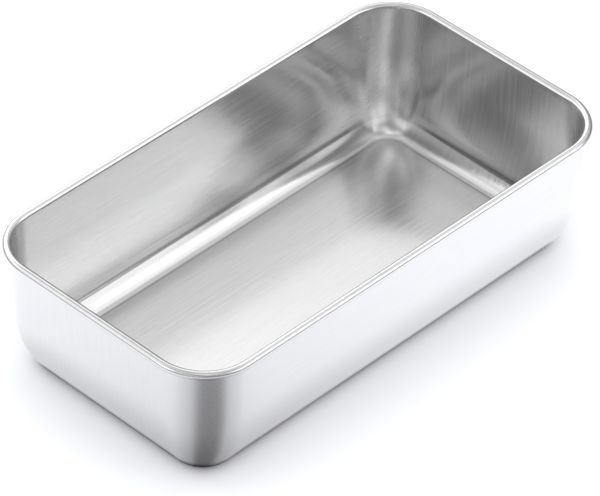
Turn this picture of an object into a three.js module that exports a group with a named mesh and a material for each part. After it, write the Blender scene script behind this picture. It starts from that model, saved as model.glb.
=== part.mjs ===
// Loaf pan: a deep-drawn stainless steel shell whose rim is rolled outwards round a steel wire.
// Units are millimetres, +Z is up, +X runs along the pan, and the origin lies under the middle
// of its base, on the surface that it stands on.
import * as THREE from "three";
import { LoftGeometry } from "three/addons/geometries/LoftGeometry.js";

// Driving dimensions
const LENGTH = 235; // over the rolled rim
const WIDTH = 126; // over the rolled rim
const HEIGHT = 61; // from the underside to the top of the rim
const CORNER_RADIUS = 23.4; // in plan, along the centre of the rolled rim
const SHEET = 0.7; // thickness of the steel
const BEAD_DIAMETER = 3.7; // outside diameter of the rolled rim
const CURL_END = THREE.MathUtils.degToRad(-114); // the sheet's edge stops short of the wall here
const WALL_DRAFT = THREE.MathUtils.degToRad(1);
const BEND_RISE = 36.5; // height at which the wall starts to bend in towards the base
const BEND_RUN = 13.3; // how far the bend carries it in
const WIRE_DIAMETER = 1.8;
const WIRE_GAP = 0.8; // between the wire's two cut ends

// Fineness of the facets
const CORNER_STEPS = 12;
const BEND_STEPS = 12;
const CURL_STEPS = 16;
const WIRE_SIDES = 10;

const BEAD_RADIUS = BEAD_DIAMETER / 2;
const CURL_INNER_RADIUS = BEAD_RADIUS - SHEET;
const WIRE_RADIUS = WIRE_DIAMETER / 2;
const BEAD_HEIGHT = HEIGHT - BEAD_RADIUS; // of the rolled rim's centre line
const CORNER_X = LENGTH / 2 - BEAD_RADIUS - CORNER_RADIUS; // the centres that the corners share
const CORNER_Y = WIDTH / 2 - BEAD_RADIUS - CORNER_RADIUS;

const shellSteel = new THREE.MeshStandardMaterial({ color: 0xc9cacc, roughness: 0.3, metalness: 1 });
const wireSteel = new THREE.MeshStandardMaterial({ color: 0xb4b5b7, roughness: 0.45, metalness: 1 });

// The pan's outline seen from above, as points that run counterclockwise from the left end of
// the rear long side to its right end. offset moves it outwards from the rim's centre line.
function outlinePoints(offset) {
  const radius = CORNER_RADIUS + offset;
  const outline = new THREE.Path();
  outline.absarc(-CORNER_X, CORNER_Y, radius, 0.5 * Math.PI, Math.PI);
  outline.absarc(-CORNER_X, -CORNER_Y, radius, Math.PI, 1.5 * Math.PI);
  outline.absarc(CORNER_X, -CORNER_Y, radius, 1.5 * Math.PI, 2 * Math.PI);
  outline.absarc(CORNER_X, CORNER_Y, radius, 2 * Math.PI, 2.5 * Math.PI);
  return outline.getPoints(CORNER_STEPS / 2);
}

// A section point is (offset from the rim's centre line, height).
// One face of the wall, from the edge of the flat base up through the bend to the rim. The
// outer face has depth 0, and the inner face lies depth inside it, square to the sheet.
function wallFace(depth) {
  const points = [];
  for (let step = 0; step <= BEND_STEPS; step++) {
    const angle = (Math.PI / 2) * (1 - step / BEND_STEPS);
    const height = BEND_RISE * (1 - Math.sin(angle));
    const drawnIn = (BEAD_HEIGHT - height) * Math.tan(WALL_DRAFT) + BEND_RUN * (1 - Math.cos(angle));
    const outwards = BEND_RUN * Math.sin(angle) + BEND_RISE * Math.cos(angle) * Math.tan(WALL_DRAFT);
    const upwards = BEND_RISE * Math.cos(angle);
    const square = new THREE.Vector2(-upwards, outwards).normalize();
    const outer = new THREE.Vector2(-CURL_INNER_RADIUS - drawnIn, height);
    points.push(outer.addScaledVector(square, depth));
  }
  points.push(new THREE.Vector2(-CURL_INNER_RADIUS - depth, BEAD_HEIGHT));
  return points;
}

// One face of the rolled rim, from the top of the wall over and down to the sheet's edge.
function curlFace(radius) {
  const points = [];
  for (let step = 1; step <= CURL_STEPS; step++) {
    const angle = THREE.MathUtils.mapLinear(step, 0, CURL_STEPS, Math.PI, CURL_END);
    points.push(new THREE.Vector2(radius * Math.cos(angle), BEAD_HEIGHT + radius * Math.sin(angle)));
  }
  return points;
}

// The drawn sheet: its skin runs up the outer face, round inside the curl to the cut edge, back
// over the curl and down the inner face, then across the floor to its middle. A cap closes the
// underside.
function panShell() {
  const outerFace = [...wallFace(0), ...curlFace(CURL_INNER_RADIUS)];
  const innerFace = [...wallFace(SHEET), ...curlFace(BEAD_RADIUS)];
  const section = [...outerFace, ...innerFace.reverse()];
  const rings = section.map(({ x: offset, y: height }) =>
    outlinePoints(offset).map(({ x, y }) => new THREE.Vector3(x, y, height)),
  );
  rings.push(rings[0].map(() => new THREE.Vector3(0, 0, SHEET)));
  const shell = new THREE.Mesh(new LoftGeometry(rings, { capStart: true }), shellSteel);
  shell.name = "pan_shell";
  return shell;
}

// The wire inside the curl: one hoop whose cut ends face each other on the rear long side.
function rimWire() {
  const rear = CORNER_Y + CORNER_RADIUS;
  const start = new THREE.Vector2(-WIRE_GAP / 2, rear);
  const end = new THREE.Vector2(WIRE_GAP / 2, rear);
  const path = [start, ...outlinePoints(0), end];
  const rings = path.map((point, index) => {
    const before = path[Math.max(index - 1, 0)];
    const after = path[Math.min(index + 1, path.length - 1)];
    const along = after.clone().sub(before).normalize();
    const ring = [];
    for (let side = 0; side < WIRE_SIDES; side++) {
      const angle = (2 * Math.PI * side) / WIRE_SIDES;
      const across = WIRE_RADIUS * Math.cos(angle);
      const height = BEAD_HEIGHT - WIRE_RADIUS * Math.sin(angle);
      ring.push(new THREE.Vector3(point.x + across * along.y, point.y - across * along.x, height));
    }
    return ring;
  });
  const wire = new THREE.Mesh(new LoftGeometry(rings, { capStart: true, capEnd: true }), wireSteel);
  wire.name = "rim_wire";
  return wire;
}

const loafPan = new THREE.Group();
loafPan.add(panShell(), rimWire());

export default loafPan;
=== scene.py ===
"""The looks of a stainless steel loaf pan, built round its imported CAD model.

Both CAD nodes are replaced by fine smooth meshes of the same pieces: the drawn shell with its
rolled rim, and the wire inside the rim. Lengths are in metres, in the CAD model's frame.
"""
import math

import bpy
import numpy as np
from mathutils import Matrix, Vector, noise


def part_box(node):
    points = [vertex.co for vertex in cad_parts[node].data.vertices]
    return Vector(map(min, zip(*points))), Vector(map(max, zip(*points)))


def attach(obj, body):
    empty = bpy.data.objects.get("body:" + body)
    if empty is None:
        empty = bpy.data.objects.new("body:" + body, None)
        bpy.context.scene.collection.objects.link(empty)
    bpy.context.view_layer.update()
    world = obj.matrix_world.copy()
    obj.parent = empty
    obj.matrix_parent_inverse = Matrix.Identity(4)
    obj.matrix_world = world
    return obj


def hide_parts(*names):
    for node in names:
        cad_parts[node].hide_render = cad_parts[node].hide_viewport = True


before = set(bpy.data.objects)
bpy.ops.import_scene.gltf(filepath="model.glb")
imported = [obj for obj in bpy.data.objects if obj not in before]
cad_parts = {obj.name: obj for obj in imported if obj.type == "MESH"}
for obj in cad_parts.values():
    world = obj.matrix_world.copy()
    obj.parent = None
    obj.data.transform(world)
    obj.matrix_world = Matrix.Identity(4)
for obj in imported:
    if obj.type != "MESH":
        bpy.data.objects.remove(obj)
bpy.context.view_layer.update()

MM = 0.001

# The pan's own sizes, as in the CAD model
SHEET = 0.7 * MM
BEAD_RADIUS = 1.85 * MM
CURL_INNER_RADIUS = BEAD_RADIUS - SHEET
CURL_END = math.radians(-114)
CORNER_RADIUS = 23.4 * MM
WALL_DRAFT = math.radians(1)
BEND_RISE = 36.5 * MM
BEND_RUN = 13.3 * MM
WIRE_RADIUS = 0.9 * MM
WIRE_GAP = 0.8 * MM
WIRE_BEVEL = 0.12 * MM

# What drawing leaves in the sheet: how far apart its bows and ripples are, and how high
BOW_SPAN = 55 * MM
BOW_HEIGHT = 0.07 * MM
RIPPLE_SPAN = 24 * MM
RIPPLE_HEIGHT = 0.005 * MM
DOME_SPAN = 50 * MM
DOME_HEIGHT = 0.12 * MM

shell_low, shell_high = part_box("pan_shell")
HALF_LENGTH = (shell_high.x - shell_low.x) / 2
HALF_WIDTH = (shell_high.y - shell_low.y) / 2
BEAD_HEIGHT = shell_high.z - BEAD_RADIUS
CORNER_X = HALF_LENGTH - BEAD_RADIUS - CORNER_RADIUS
CORNER_Y = HALF_WIDTH - BEAD_RADIUS - CORNER_RADIUS
# From the rim's centre line in to the edge of the flat base
BASE_EDGE = -CURL_INNER_RADIUS - BEAD_HEIGHT * math.tan(WALL_DRAFT) - BEND_RUN

# Fineness of the meshes
CORNER_STEPS = 40
SIDE_STEP = 3.5 * MM
BEND_STEPS = 36
WALL_STEPS = 10
CURL_STEPS = 40
FLOOR_RINGS = 14
WIRE_SIDES = 16


# ---------------------------------------------------------------- the pan's outline and section

def rim_path():
    """Points on the rim's centre line and their outward directions, round the pan from the
    middle of the rear long side: two arrays of shape (points, 2)."""
    points, outward = [], []
    side_x = max(2, round(2 * CORNER_X / SIDE_STEP / 2) * 2)
    side_y = max(2, round(2 * CORNER_Y / SIDE_STEP / 2) * 2)
    sides = [(0, -2 * CORNER_Y), (2 * CORNER_X, 0), (0, 2 * CORNER_Y), (-2 * CORNER_X, 0)]
    for quarter in range(4):
        start = math.pi / 2 * (quarter + 1)
        centre_x = CORNER_X * (-1 if quarter in (0, 1) else 1)
        centre_y = CORNER_Y * (1 if quarter in (0, 3) else -1)
        for step in range(CORNER_STEPS + 1):
            angle = start + math.pi / 2 * step / CORNER_STEPS
            direction = np.array([math.cos(angle), math.sin(angle)])
            outward.append(direction)
            points.append(np.array([centre_x, centre_y]) + CORNER_RADIUS * direction)
        pieces = side_y if quarter in (0, 2) else side_x
        along = np.array(sides[quarter])
        last_point, last_outward = points[-1], outward[-1]
        for step in range(1, pieces):
            points.append(last_point + along * step / pieces)
            outward.append(last_outward)
    return np.array(points), np.array(outward)


def wall_rows():
    """The outer face from the edge of the flat base to the foot of the curl, one row a line:
    offset from the rim's centre line, height, and the inward direction square to the sheet."""
    rows = []
    slope = math.tan(WALL_DRAFT)
    for step in range(BEND_STEPS + 1):
        angle = math.pi / 2 * (1 - step / BEND_STEPS)
        height = BEND_RISE * (1 - math.sin(angle))
        drawn_in = (BEAD_HEIGHT - height) * slope + BEND_RUN * (1 - math.cos(angle))
        upwards = BEND_RISE * math.cos(angle)
        outwards = BEND_RUN * math.sin(angle) + upwards * slope
        size = math.hypot(upwards, outwards)
        rows.append((-CURL_INNER_RADIUS - drawn_in, height, -upwards / size, outwards / size))
    for step in range(1, WALL_STEPS + 1):
        height = BEND_RISE + (BEAD_HEIGHT - BEND_RISE) * step / WALL_STEPS
        drawn_in = (BEAD_HEIGHT - height) * slope
        tilt = WALL_DRAFT * (1 - step / WALL_STEPS)
        rows.append((-CURL_INNER_RADIUS - drawn_in, height, -math.cos(tilt), math.sin(tilt)))
    return np.array(rows)


def waviness(blank, height_share):
    """How far the sheet stands off its true shape, in metres: the shallow bows and hollows that
    drawing leaves. blank is a point of the flat blank, height_share 0 at the base, 1 at the rim."""
    place = Vector((blank[0] / BOW_SPAN, blank[1] / BOW_SPAN, 3.7))
    bow = noise.noise(place) * BOW_HEIGHT
    place = Vector((blank[0] / RIPPLE_SPAN, blank[1] / RIPPLE_SPAN, 9.1))
    ripple = noise.noise(place) * RIPPLE_HEIGHT
    fade = math.sin(math.pi * min(max(height_share, 0), 1)) ** 0.7
    return (bow + ripple) * fade


def grid_mesh(name, rows, uvs, inside):
    """A smooth-shaded mesh over a grid of points (rows, around, 3), wrapping round the pan. The
    first and last rows are single points. uvs has shape (rows, around + 1, 2), and inside gives
    each row's share of being on the pan's inner face, kept as the mesh's attribute "inside"."""
    count_rows, around = rows.shape[:2]
    vertices = [tuple(rows[0, 0])]
    for row in rows[1:-1]:
        vertices.extend(map(tuple, row))
    vertices.append(tuple(rows[-1, 0]))

    def index(row, k):
        if row == 0:
            return 0
        if row == count_rows - 1:
            return len(vertices) - 1
        return 1 + (row - 1) * around + k % around

    faces, corners = [], []
    for row in range(count_rows - 1):
        for k in range(around):
            quad = [(row, k), (row, k + 1), (row + 1, k + 1), (row + 1, k)]
            ids = [index(*c) for c in quad]
            kept = [i for i in range(4) if ids[i] != ids[i - 1]]
            faces.append([ids[i] for i in kept])
            corners.extend(tuple(uvs[quad[i][0], quad[i][1]]) for i in kept)
    mesh = bpy.data.meshes.new(name)
    mesh.from_pydata(vertices, [], faces)
    layer = mesh.uv_layers.new(name="blank")
    layer.data.foreach_set("uv", np.array(corners, float).ravel())
    shares = [inside[0], *np.repeat(inside[1:-1], around), inside[-1]]
    attribute = mesh.attributes.new("inside", "FLOAT", "POINT")
    attribute.data.foreach_set("value", np.array(shares, float))
    mesh.shade_smooth()
    mesh.update()
    piece = bpy.data.objects.new(name, mesh)
    bpy.context.scene.collection.objects.link(piece)
    return piece


# ---------------------------------------------------------------- pieces

def make_shell():
    """The drawn sheet as one closed skin. Its UV map is the flat blank that it was drawn from,
    so the grain rolled into the blank runs on through floor, bend, corner, wall and rim."""
    path, outward = rim_path()
    around = len(path)
    wall = wall_rows()
    run = np.r_[0, np.cumsum(np.hypot(np.diff(wall[:, 0]), np.diff(wall[:, 1])))]
    edge = path + outward * wall[0, 0]
    rows, uvs = [], []

    def add(offset, height, blank_run, inwards=None):
        flat = edge + outward * blank_run
        ring = np.c_[path + outward * offset, np.full(around, height)]
        if inwards is not None:
            share = blank_run / run[-1]
            lift = np.array([waviness(b, share) for b in flat])
            ring[:, :2] += outward * (inwards[0] * lift)[:, None]
            ring[:, 2] += inwards[1] * lift
        rows.append(ring)
        uvs.append(flat)

    def add_floor(share, height):
        flat = edge * share
        dome = DOME_HEIGHT * (1 - share ** 2) * (1 - share ** 8)
        places = [Vector((b[0] / DOME_SPAN, b[1] / DOME_SPAN, 1.3)) for b in flat]
        lift = np.array([noise.noise(place) for place in places])
        lift = dome * (1 + 0.5 * lift)
        rows.append(np.c_[flat, height + lift])
        uvs.append(flat)

    shares = np.linspace(0, 1, FLOOR_RINGS + 1)[:-1] ** 0.8
    for share in shares:
        add_floor(share, 0.0)
    for (offset, height, in_x, in_z), blank_run in zip(wall, run):
        add(offset, height, blank_run, (in_x, in_z))
    angles = np.linspace(math.pi, CURL_END, CURL_STEPS + 1)[1:]
    turn = (BEAD_RADIUS - SHEET / 2) * (math.pi - angles)
    inner_skin = [(CURL_INNER_RADIUS, angle, bent) for angle, bent in zip(angles, turn)]
    outer_skin = [(BEAD_RADIUS, angle, bent) for angle, bent in zip(angles[::-1], turn[::-1])]
    for radius, angle, bent in inner_skin + outer_skin:
        add(radius * math.cos(angle), BEAD_HEIGHT + radius * math.sin(angle), run[-1] + bent)
    for (offset, height, in_x, in_z), blank_run in zip(wall[::-1], run[::-1]):
        add(offset + in_x * SHEET, height + in_z * SHEET, blank_run, (in_x, in_z))
    for share in shares[::-1]:
        add_floor(share, SHEET)
    rows, uvs = np.array(rows), np.array(uvs)
    uvs = np.concatenate([uvs, uvs[:, :1]], axis=1)
    inside = np.arange(len(rows)) >= len(rows) // 2
    return grid_mesh("drawn_shell", rows, uvs, inside)


def make_wire():
    """The rim's wire: one hoop of round wire with slightly rounded cut ends."""
    path, _ = rim_path()
    start = int(np.argmin(np.abs(path[:, 0]) + np.abs(path[:, 1] - (HALF_WIDTH - BEAD_RADIUS))))
    path = np.roll(path, -start, axis=0)
    keep = np.abs(path[:, 0]) > WIRE_GAP
    keep |= path[:, 1] < 0
    path = path[keep]
    rear = HALF_WIDTH - BEAD_RADIUS
    path = np.vstack([[-WIRE_GAP / 2, rear], path, [WIRE_GAP / 2, rear]])
    along = np.gradient(path, axis=0)
    along /= np.linalg.norm(along, axis=1)[:, None]
    far = np.r_[0, np.cumsum(np.linalg.norm(np.diff(path, axis=0), axis=1))]
    rings, uvs = [], []

    def ring(point, direction, radius, distance):
        angles = np.linspace(0, 2 * math.pi, WIRE_SIDES + 1)[:-1]
        across = radius * np.cos(angles)
        rings.append(np.c_[
            point[0] + across * direction[1],
            point[1] - across * direction[0],
            BEAD_HEIGHT - radius * np.sin(angles),
        ])
        girth = np.linspace(0, 2 * math.pi * WIRE_RADIUS, WIRE_SIDES + 1)
        uvs.append(np.c_[np.full(WIRE_SIDES + 1, distance), girth])

    ring(path[0], along[0], 0, 0)
    ring(path[0], along[0], WIRE_RADIUS - WIRE_BEVEL, 0)
    ring(path[0] + along[0] * WIRE_BEVEL, along[0], WIRE_RADIUS, WIRE_BEVEL)
    for point, direction, distance in zip(path[1:-1], along[1:-1], far[1:-1]):
        ring(point, direction, WIRE_RADIUS, distance)
    ring(path[-1] - along[-1] * WIRE_BEVEL, along[-1], WIRE_RADIUS, far[-1] - WIRE_BEVEL)
    ring(path[-1], along[-1], WIRE_RADIUS - WIRE_BEVEL, far[-1])
    ring(path[-1], along[-1], 0, far[-1])
    return grid_mesh("rim_hoop", np.array(rings), np.array(uvs), np.zeros(len(rings)))


# ---------------------------------------------------------------- materials

PAN_COLOUR = (0.66, 0.66, 0.662)
WIRE_COLOUR = (0.5, 0.5, 0.51)


class Nodes:
    """Short calls for building a node tree."""

    def __init__(self, tree):
        self.tree = tree
        tree.nodes.clear()

    def add(self, kind, **settings):
        node = self.tree.nodes.new(kind)
        for key, value in settings.items():
            setattr(node, key, value)
        return node

    def link(self, output, target):
        self.tree.links.new(output, target)

    def set(self, socket, value):
        if isinstance(value, bpy.types.NodeSocket):
            self.link(value, socket)
        else:
            socket.default_value = value

    def math(self, operation, first, second=0.0, clamp=False):
        node = self.add("ShaderNodeMath", operation=operation, use_clamp=clamp)
        self.set(node.inputs[0], first)
        self.set(node.inputs[1], second)
        return node.outputs[0]

    def scaled(self, vector, scale):
        node = self.add("ShaderNodeVectorMath", operation="MULTIPLY")
        self.set(node.inputs[0], vector)
        node.inputs[1].default_value = scale
        return node.outputs[0]

    def noise(self, vector, scale, detail=2.0, roughness=0.5):
        node = self.add("ShaderNodeTexNoise", noise_dimensions="3D")
        self.link(vector, node.inputs["Vector"])
        node.inputs["Scale"].default_value = scale
        node.inputs["Detail"].default_value = detail
        node.inputs["Roughness"].default_value = roughness
        return node.outputs["Fac"]

    def remap(self, value, low, high, to_low, to_high, smooth=False):
        node = self.add("ShaderNodeMapRange", clamp=True)
        if smooth:
            node.interpolation_type = "SMOOTHSTEP"
        self.set(node.inputs["Value"], value)
        for name, number in zip(("From Min", "From Max", "To Min", "To Max"), (low, high, to_low, to_high)):
            node.inputs[name].default_value = number
        return node.outputs[0]

    def band(self, value, start, full, still_full, end, depth=1):
        """0 up to start, depth from full to still_full, and 0 again from end on."""
        rise = self.remap(value, start, full, 0, depth, smooth=True)
        fall = self.remap(value, still_full, end, 1, 0, smooth=True)
        return self.math("MULTIPLY", rise, fall)


def brushed_steel(name, colour, roughness, anisotropy, grain=1.0):
    """Stainless steel brushed along the blank's X: long fine lines in height, gloss and tone."""
    material = bpy.data.materials.new(name)
    material.use_nodes = True
    n = Nodes(material.node_tree)
    uv = n.add("ShaderNodeUVMap", uv_map="blank").outputs["UV"]
    fine = n.noise(n.scaled(uv, (70, 1900, 1)), 1.0, 2.0, 0.6)
    middle = n.noise(n.scaled(uv, (22, 800, 1)), 1.0, 3.0, 0.6)
    broad = n.noise(n.scaled(uv, (7, 160, 1)), 1.0, 2.0, 0.5)
    cloud = n.noise(n.scaled(uv, (18, 18, 1)), 1.0, 2.0, 0.5)
    scratch = n.noise(n.scaled(uv, (45, 1900, 1)), 1.0, 0.0, 0.5)
    scratch = n.remap(scratch, 0.70, 0.78, 0.0, 1.0)
    # how far up the wall, along the sheet from the edge of the flat base
    run = outline_distance(n, uv, CORNER_X, CORNER_Y, CORNER_RADIUS + BASE_EDGE)
    drawn = n.add("ShaderNodeCombineXYZ")
    n.link(n.math("MULTIPLY", run, 1300), drawn.inputs[0])
    n.link(n.noise(n.scaled(uv, (9, 9, 1)), 1.0, 1.0, 0.5), drawn.inputs[1])
    lines = n.noise(drawn.outputs[0], 1.0, 2.0, 0.5)
    # a narrow band of darker draw marks part of the way up the bend, darkened further as painted shade for
    # the dark reflection streak there
    draw_marks_and_painted_shade = n.band(run, 10.0 * MM, 11.0 * MM, 12.8 * MM, 14.2 * MM)
    draw_marks_and_painted_shade = n.math("MULTIPLY", draw_marks_and_painted_shade, n.remap(lines, 0.40, 0.56, 1.0, 0.15))
    # and a thin line of painted shade round the edge of the flat base, in its crease
    painted_crease_shade = n.band(run, -0.6 * MM, 0.0, 0.2 * MM, 1.0 * MM, depth=0.38)
    draw_marks_and_painted_shade = n.math("ADD", draw_marks_and_painted_shade, painted_crease_shade)
    # the draw marks and the painted shade both fade in the round corners
    place = n.add("ShaderNodeSeparateXYZ")
    n.link(uv, place.inputs[0])
    past_x = n.math("SUBTRACT", n.math("ABSOLUTE", place.outputs["X"]), CORNER_X)
    past_y = n.math("SUBTRACT", n.math("ABSOLUTE", place.outputs["Y"]), CORNER_Y)
    turned = n.math("MINIMUM", past_x, past_y)
    draw_marks_and_painted_shade = n.math("MULTIPLY", draw_marks_and_painted_shade, n.remap(turned, -12 * MM, 4 * MM, 1, 0.15, smooth=True))
    inside = n.add("ShaderNodeAttribute", attribute_name="inside").outputs["Fac"]
    draw_marks_and_painted_shade = n.math("MULTIPLY", draw_marks_and_painted_shade, inside)
    ridges = n.math("MULTIPLY", lines, n.band(run, 3 * MM, 7 * MM, 13 * MM, 20 * MM))
    ridges = n.math("MULTIPLY", ridges, inside)
    crease = n.math("MULTIPLY", n.band(run, 0.0, 1 * MM, 1 * MM, 2 * MM), inside)

    shader = n.add("ShaderNodeBsdfPrincipled")
    shader.inputs["Metallic"].default_value = 1.0
    shader.inputs["Anisotropic"].default_value = anisotropy
    shader.inputs["Anisotropic Rotation"].default_value = 0.25

    # the grain shows most inside, and fades in the round corners
    seen = n.remap(turned, -6 * MM, 6 * MM, 1, 0.12, smooth=True)
    seen = n.math("MULTIPLY", seen, n.remap(inside, 0, 1, 0.5, 1))
    tone = n.math("MULTIPLY", n.math("SUBTRACT", middle, 0.5), 0.42 * grain)
    tone = n.math("ADD", tone, n.math("MULTIPLY", n.math("SUBTRACT", fine, 0.5), 0.55 * grain))
    tone = n.math("MULTIPLY", tone, seen)
    tone = n.math("ADD", tone, n.math("MULTIPLY", n.math("SUBTRACT", cloud, 0.5), 0.05))
    mix = n.add("ShaderNodeMix", data_type="RGBA")
    mix.inputs["A"].default_value = (*[c * 0.86 for c in colour], 1)
    mix.inputs["B"].default_value = (*[min(1, c * 1.14) for c in colour], 1)
    n.link(n.math("ADD", tone, 0.5, clamp=True), mix.inputs["Factor"])
    # the base colour is darkened to 0.28 of itself under the draw marks and the painted shade
    draw_mark_and_shade_mix = n.add("ShaderNodeMix", data_type="RGBA")
    n.link(mix.outputs["Result"], draw_mark_and_shade_mix.inputs["A"])
    draw_mark_and_shade_mix.inputs["B"].default_value = (*[c * 0.28 for c in colour], 1)
    n.link(draw_marks_and_painted_shade, draw_mark_and_shade_mix.inputs["Factor"])
    n.link(draw_mark_and_shade_mix.outputs["Result"], shader.inputs["Base Color"])

    rough = n.math("MULTIPLY", n.math("SUBTRACT", middle, 0.5), 0.16 * grain)
    rough = n.math("ADD", n.math("MULTIPLY", rough, seen), roughness)
    rough = n.math("ADD", rough, n.math("MULTIPLY", n.math("SUBTRACT", cloud, 0.5), 0.06))
    rough = n.math("ADD", rough, n.math("MULTIPLY", scratch, 0.05 * grain))
    # the corners, where the sheet was drawn hardest, are duller
    rough = n.math("ADD", rough, n.remap(turned, -6 * MM, 8 * MM, 0.0, 0.08, smooth=True), clamp=True)
    n.link(rough, shader.inputs["Roughness"])

    height = n.math("ADD", n.math("MULTIPLY", fine, 0.35), n.math("MULTIPLY", middle, 0.7))
    height = n.math("ADD", height, n.math("MULTIPLY", broad, 0.8))
    height = n.math("SUBTRACT", height, n.math("MULTIPLY", scratch, 0.25))
    height = n.math("ADD", height, n.math("MULTIPLY", ridges, 4.0))
    height = n.math("SUBTRACT", height, n.math("MULTIPLY", crease, 1.5))
    bump = n.add("ShaderNodeBump")
    n.link(n.math("MULTIPLY", seen, 0.35 * grain), bump.inputs["Strength"])
    bump.inputs["Distance"].default_value = 0.02 * MM
    n.link(height, bump.inputs["Height"])
    n.link(bump.outputs["Normal"], shader.inputs["Normal"])

    tangent = n.add("ShaderNodeTangent", direction_type="UV_MAP", uv_map="blank")
    n.link(tangent.outputs["Tangent"], shader.inputs["Tangent"])
    out = n.add("ShaderNodeOutputMaterial")
    n.link(shader.outputs["BSDF"], out.inputs["Surface"])
    return material


def floor_material():
    """Plain matt white, see-through from below so that the underside can be looked at."""
    material = bpy.data.materials.new("studio_floor")
    material.use_nodes = True
    n = Nodes(material.node_tree)
    matt = n.add("ShaderNodeBsdfDiffuse")
    matt.inputs["Color"].default_value = (0.885, 0.89, 0.915, 1)
    clear = n.add("ShaderNodeBsdfTransparent")
    side = n.add("ShaderNodeNewGeometry")
    mix = n.add("ShaderNodeMixShader")
    n.link(side.outputs["Backfacing"], mix.inputs["Fac"])
    n.link(matt.outputs[0], mix.inputs[1])
    n.link(clear.outputs[0], mix.inputs[2])
    out = n.add("ShaderNodeOutputMaterial")
    n.link(mix.outputs[0], out.inputs["Surface"])
    return material


# ---------------------------------------------------------------- studio

FLOOR_HALF = 8.0
FLOOR_LEVEL = -0.02 * MM
TABLE_LEVEL = -0.06 * MM
# On the table: the foot of the near corner, the way its painted dark patch runs, and the way behind
NEAR_CORNER = Vector((-98, -40, 0)) * MM
DARK_WAY = (-0.51, -0.86, 0)
REAR_WAY = (0.6, 0.8, 0)


def direction(azimuth, elevation):
    """A unit vector: azimuth 0 points to -Y and 90 to +X, elevation is above the horizon."""
    a, e = math.radians(azimuth), math.radians(elevation)
    return Vector((math.sin(a) * math.cos(e), -math.cos(a) * math.cos(e), math.sin(e)))


# The camera, as it was fitted to the reference picture
VIEW_AZIMUTH = -46.85
VIEW_ELEVATION = 40.12
VIEW_ROLL = 1.71
VIEW_DISTANCE = 2.0095
LENS = 300.8
SENSOR = 36
FARTHEST = 50
AIM = Vector((4.14, 4.04, 20.47)) * MM


def make_camera():
    data = bpy.data.cameras.new("camera")
    data.lens = LENS
    data.sensor_width = SENSOR
    data.clip_end = FARTHEST
    camera = bpy.data.objects.new("camera", data)
    bpy.context.scene.collection.objects.link(camera)
    back = direction(VIEW_AZIMUTH, VIEW_ELEVATION)
    camera.location = AIM + back * VIEW_DISTANCE
    level = (-back).to_track_quat("-Z", "Y").to_matrix()
    roll = Matrix.Rotation(math.radians(VIEW_ROLL), 3, "Z")
    camera.rotation_mode = "QUATERNION"
    camera.rotation_quaternion = (level @ roll).to_quaternion()
    bpy.context.scene.camera = camera


# The soft lights that the steel mirrors: azimuth, elevation, angular radius and brightness of
# each. In 12 of the 24 the brightness is what a least-squares fit to the reference picture gave,
# kept or rounded. 5 more keep the fit's place with the brightness changed. The other 7
# were set one by one.
SOFT_LIGHTS = [
    (150, 27, 10, 2.95),
    (127, 55, 8, 1.2),
    (133, 43, 8, 0.25),
    (165, 38, 9, 1.5),
    (180, 22, 10, 2.3),
    (15, 27, 9, 2.3),
    (45, 26, 8, 2.0),
    (45, 12, 8, 1.6),
    (47, 46, 8, 0.7),
    (56, 52, 7, 0.45),
    (90, 42, 9, 1.1),
    (-8, 44, 8, 0.3),
    (-32, 48, 7, 0.75),
    (-90, 55, 7, 0.8),
    (-60, 8, 9, 0.7),
    (-78, 25, 7, 0.8),
    (-50, 66, 7, 1.2),
    (-108, 22, 9, 2.5),
    (-120, 12, 9, 0.9),
    (-135, 42, 9, 0.65),
    (-152, 20, 9, 1.5),
    (-148, 34, 7, 1.6),
    (-150, 62, 9, 0.8),
    (60, 78, 14, 0.5),
]
# The surround between the lights
DIM = 0.34


def make_world():
    """A surround that the steel sees as soft lights on a dim ground, darker at the horizon, that
    lights the floor as a white sky brighter overhead, and that the camera sees as plain white."""
    world = bpy.data.worlds.new("studio")
    bpy.context.scene.world = world
    world.use_nodes = True
    n = Nodes(world.node_tree)
    toward = n.add("ShaderNodeTexCoord").outputs["Generated"]
    shade = DIM
    for azimuth, elevation, radius, level in SOFT_LIGHTS:
        dot = n.add("ShaderNodeVectorMath", operation="DOT_PRODUCT")
        n.link(toward, dot.inputs[0])
        dot.inputs[1].default_value = direction(azimuth, elevation)
        fall = n.math("SUBTRACT", dot.outputs["Value"], 1.0)
        fall = n.math("DIVIDE", fall, math.radians(radius) ** 2)
        share = n.math("EXPONENT", fall)
        shade = n.math("ADD", n.math("MULTIPLY", share, level), shade)
    height = n.add("ShaderNodeSeparateXYZ")
    n.link(toward, height.inputs[0])
    rise = n.math("ABSOLUTE", height.outputs["Z"])
    share = n.remap(rise, 0.01, 0.12, 0.12, 1.0, smooth=True)
    shade = n.math("MULTIPLY", shade, share)
    lit = n.add("ShaderNodeBackground")
    n.link(shade, lit.inputs["Strength"])
    lit.inputs["Color"].default_value = (1, 1, 1, 1)
    plain = n.add("ShaderNodeBackground")
    plain.inputs["Color"].default_value = (1, 1, 1, 1)
    path = n.add("ShaderNodeLightPath")
    above = n.math("ADD", n.math("MULTIPLY", rise, 1.7), 0.32)
    backdrop = n.math("MULTIPLY", path.outputs["Is Camera Ray"], 1.3)
    n.link(n.math("MAXIMUM", above, backdrop), plain.inputs["Strength"])
    mix = n.add("ShaderNodeMixShader")
    n.link(path.outputs["Is Glossy Ray"], mix.inputs["Fac"])
    n.link(plain.outputs[0], mix.inputs[1])
    n.link(lit.outputs[0], mix.inputs[2])
    out = n.add("ShaderNodeOutputWorld")
    n.link(mix.outputs[0], out.inputs["Surface"])


def plane(name, z, material):
    """A level square that belongs to the studio and not to the pan."""
    half = FLOOR_HALF
    mesh = bpy.data.meshes.new(name)
    corners = [(-half, -half, z), (half, -half, z), (half, half, z), (-half, half, z)]
    mesh.from_pydata(corners, [], [(0, 1, 2, 3)])
    mesh.materials.append(material)
    piece = bpy.data.objects.new(name, mesh)
    bpy.context.scene.collection.objects.link(piece)
    return piece


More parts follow.
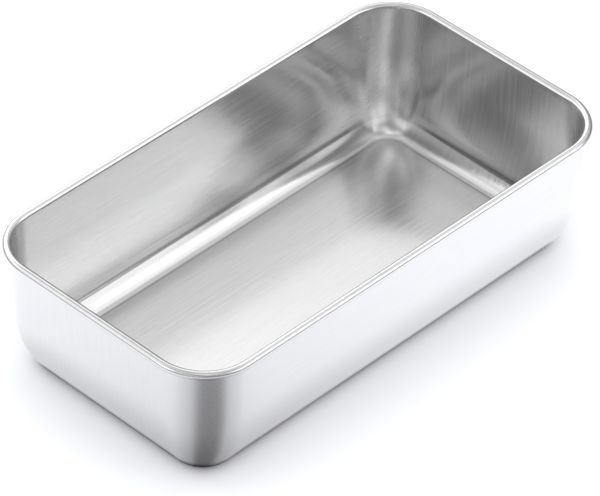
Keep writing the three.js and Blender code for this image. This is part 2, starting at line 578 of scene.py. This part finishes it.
def outline_distance(n, point, half_x, half_y, radius):
    """Distance of a point in the plane from a rounded rectangle given by its corners' centres."""
    flat = n.add("ShaderNodeVectorMath", operation="ABSOLUTE")
    n.link(point, flat.inputs[0])
    past = n.add("ShaderNodeVectorMath", operation="SUBTRACT")
    n.link(flat.outputs[0], past.inputs[0])
    past.inputs[1].default_value = (half_x, half_y, 0)
    ahead = n.add("ShaderNodeVectorMath", operation="MAXIMUM")
    n.link(past.outputs[0], ahead.inputs[0])
    ahead.inputs[1].default_value = (0, 0, 0)
    ahead = n.scaled(ahead.outputs[0], (1, 1, 0))
    size = n.add("ShaderNodeVectorMath", operation="LENGTH")
    n.link(ahead, size.inputs[0])
    return n.math("SUBTRACT", size.outputs["Value"], radius)


def table_material():
    """What the steel mirrors in place of the floor: a glow with painted shade in it, bright, dimmer
    close to the pan, behind it and far off, a painted contact shadow nearly black at its foot, and
    a painted dark wedge in front of the near corner, which gives that corner its dark band."""
    material = bpy.data.materials.new("studio_table_painted_shade")
    material.use_nodes = True
    n = Nodes(material.node_tree)
    point = n.add("ShaderNodeTexCoord").outputs["Object"]
    near = n.add("ShaderNodeVectorMath", operation="SUBTRACT")
    n.link(point, near.inputs[0])
    near.inputs[1].default_value = NEAR_CORNER
    size = n.add("ShaderNodeVectorMath", operation="LENGTH")
    n.link(near.outputs[0], size.inputs[0])
    reach = size.outputs["Value"]
    wide = n.math("EXPONENT", n.math("DIVIDE", reach, -95 * MM))
    shade = n.math("SUBTRACT", 1.53, n.math("MULTIPLY", wide, 0.66))
    aim = n.add("ShaderNodeVectorMath", operation="NORMALIZE")
    n.link(near.outputs[0], aim.inputs[0])
    along = n.add("ShaderNodeVectorMath", operation="DOT_PRODUCT")
    n.link(aim.outputs[0], along.inputs[0])
    along.inputs[1].default_value = DARK_WAY
    close = n.remap(reach, 90 * MM, 140 * MM, 1, 0, smooth=True)
    # painted shade: a dark wedge in front of the near corner, a deep core and a wide soft tail
    for outer, inner, depth in ((38, 8, 0.60), (80, 25, 0.30)):
        edge, core = math.cos(math.radians(outer)), math.cos(math.radians(inner))
        wedge = n.math("MULTIPLY", n.remap(along.outputs["Value"], edge, core, 0, depth, smooth=True), close)
        shade = n.math("MULTIPLY", shade, n.math("SUBTRACT", 1.0, wedge))
    away = outline_distance(n, point, CORNER_X, CORNER_Y, CORNER_RADIUS + BASE_EDGE)
    # painted contact shadow, nearly black at the pan's foot, then brighter further out and dimmer far off
    shade = n.math("MULTIPLY", shade, n.remap(away, 3.5 * MM, 8.5 * MM, 0.03, 0.86, smooth=True))
    shade = n.math("MULTIPLY", shade, n.remap(away, 5 * MM, 35 * MM, 0.85, 1.2, smooth=True))
    shade = n.math("MULTIPLY", shade, n.remap(away, 120 * MM, 340 * MM, 1.0, 0.35, smooth=True))
    # the underside mirrors a dim patch of its own, so that it isn't black from below
    beneath = n.remap(away, -1.2 * MM, 0.6 * MM, 1, 0, smooth=True)
    under = n.math("MULTIPLY", beneath, n.remap(reach, 30 * MM, 220 * MM, 0.35, 0.75))
    shade = n.math("MAXIMUM", shade, under)
    rear = n.add("ShaderNodeVectorMath", operation="DOT_PRODUCT")
    n.link(point, rear.inputs[0])
    rear.inputs[1].default_value = REAR_WAY
    behind = n.remap(rear.outputs["Value"], 30 * MM, 100 * MM, 1.0, 0.70, smooth=True)
    shade = n.math("MULTIPLY", shade, behind)
    glow = n.add("ShaderNodeEmission")
    glow.inputs["Color"].default_value = (0.955, 0.96, 1.0, 1)
    n.link(shade, glow.inputs["Strength"])
    out = n.add("ShaderNodeOutputMaterial")
    n.link(glow.outputs[0], out.inputs["Surface"])
    material.cycles.emission_sampling = "NONE"
    return material


def make_floor():
    """The floor that the camera sees, and just below it the table that only the steel sees."""
    floor = plane("floor", FLOOR_LEVEL, floor_material())
    floor.visible_glossy = False
    table = plane("table", TABLE_LEVEL, table_material())
    table.visible_camera = False
    table.visible_diffuse = False
    table.visible_shadow = False
    table.visible_transmission = False


# ---------------------------------------------------------------- the scene

shell = make_shell()
shell.data.materials.append(brushed_steel("pan_steel", PAN_COLOUR, 0.17, 0.5))
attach(shell, "root")
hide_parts("pan_shell")

wire = make_wire()
wire.data.materials.append(brushed_steel("wire_steel", WIRE_COLOUR, 0.4, 0.5, grain=0.6))
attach(wire, "root")
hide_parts("rim_wire")

make_floor()
make_world()
make_camera()
bpy.context.scene.view_settings.view_transform = "Standard"
